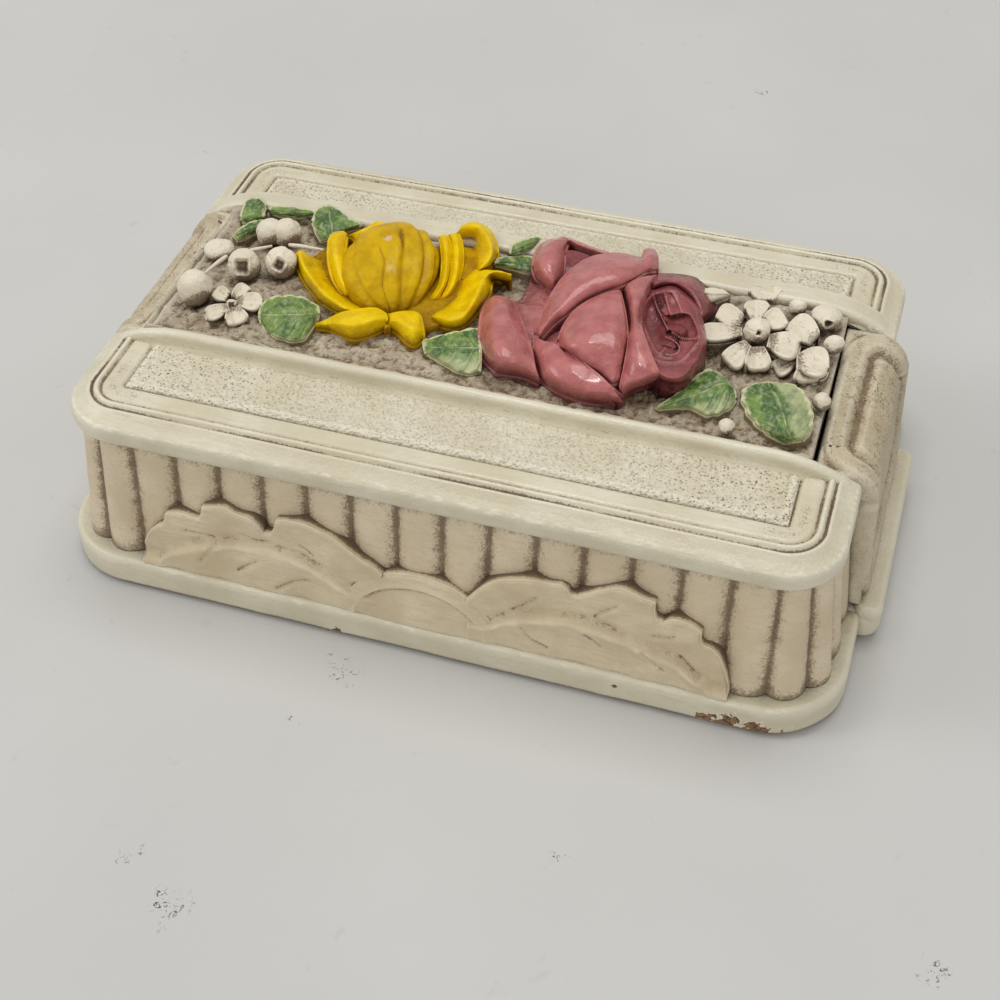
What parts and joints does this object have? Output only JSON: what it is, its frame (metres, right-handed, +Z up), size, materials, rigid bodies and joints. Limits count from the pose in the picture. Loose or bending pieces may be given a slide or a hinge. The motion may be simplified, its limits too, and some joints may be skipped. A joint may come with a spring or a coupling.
{
  "type": "trinket box",
  "caption": "Rectangular keepsake box with fluted walls, moulded base, end straps and a hinged lid carrying a strip of carved painted flowers between two rails.",
  "frame": {"origin": "middle of the underside of the felt under the base", "axes": "+X along the long side to the right seen from the front, +Y towards the hinges at the back, +Z up"},
  "size_m": [0.1906, 0.12, 0.0577],
  "materials": {
    "cream_paint": "satin cream paint with brown antiquing over cast resin",
    "tan_paint": "satin tan paint with brown antiquing over cast resin",
    "ground_paint": "rough cream paint with a brown wash over cast resin",
    "yellow_paint": "glossy yellow paint over cast resin",
    "pink_paint": "glossy dusky pink paint over cast resin",
    "white_paint": "satin off-white paint with a brown wash over cast resin",
    "green_paint": "satin green paint with pale strokes over cast resin",
    "felt": "dark brown felt",
    "brass": "satin brass"
  },
  "bodies": {
    "box_body": {"base_felt": "felt", "base_board": "cream_paint", "wall_shell": "tan_paint", "floor_felt": "felt", "left_end_strap": "tan_paint", "right_end_strap": "tan_paint", "left_hinge_body_leaf": "brass", "left_hinge_pin": "brass", "left_hinge_body_screw_1": "brass", "left_hinge_body_screw_2": "brass", "right_hinge_body_leaf": "brass", "right_hinge_pin": "brass", "right_hinge_body_screw_1": "brass", "right_hinge_body_screw_2": "brass"},
    "lid": {"lid_shell": "cream_paint", "floral_ground": "ground_paint", "yellow_flower": "yellow_paint", "pink_rose": "pink_paint", "white_blossom": "white_paint", "side_blossom": "white_paint", "little_blossom": "white_paint", "smooth_bud": "white_paint", "hollow_bud_left": "white_paint", "hollow_bud_right": "white_paint", "twin_bud": "white_paint", "corner_bud": "white_paint", "edge_bud": "white_paint", "small_bud": "white_paint", "leaf_far_left": "green_paint", "leaf_narrow": "green_paint", "leaf_back_left": "green_paint", "leaf_round": "green_paint", "leaf_front_middle": "green_paint", "leaf_back_middle": "green_paint", "leaf_front_right": "green_paint", "leaf_corner_right": "green_paint", "leaf_white": "white_paint", "left_hinge_lid_leaf": "brass", "left_hinge_lid_screw_1": "brass", "left_hinge_lid_screw_2": "brass", "right_hinge_lid_leaf": "brass", "right_hinge_lid_screw_1": "brass", "right_hinge_lid_screw_2": "brass"}
  },
  "joints": [
    {"name": "lid_hinge", "type": "hinge", "parent": "box_body", "child": "lid", "pos_m": [0, 0.0566, 0.03915], "axis": [-1, 0, 0], "range_deg": [0, 100]}
  ]
}
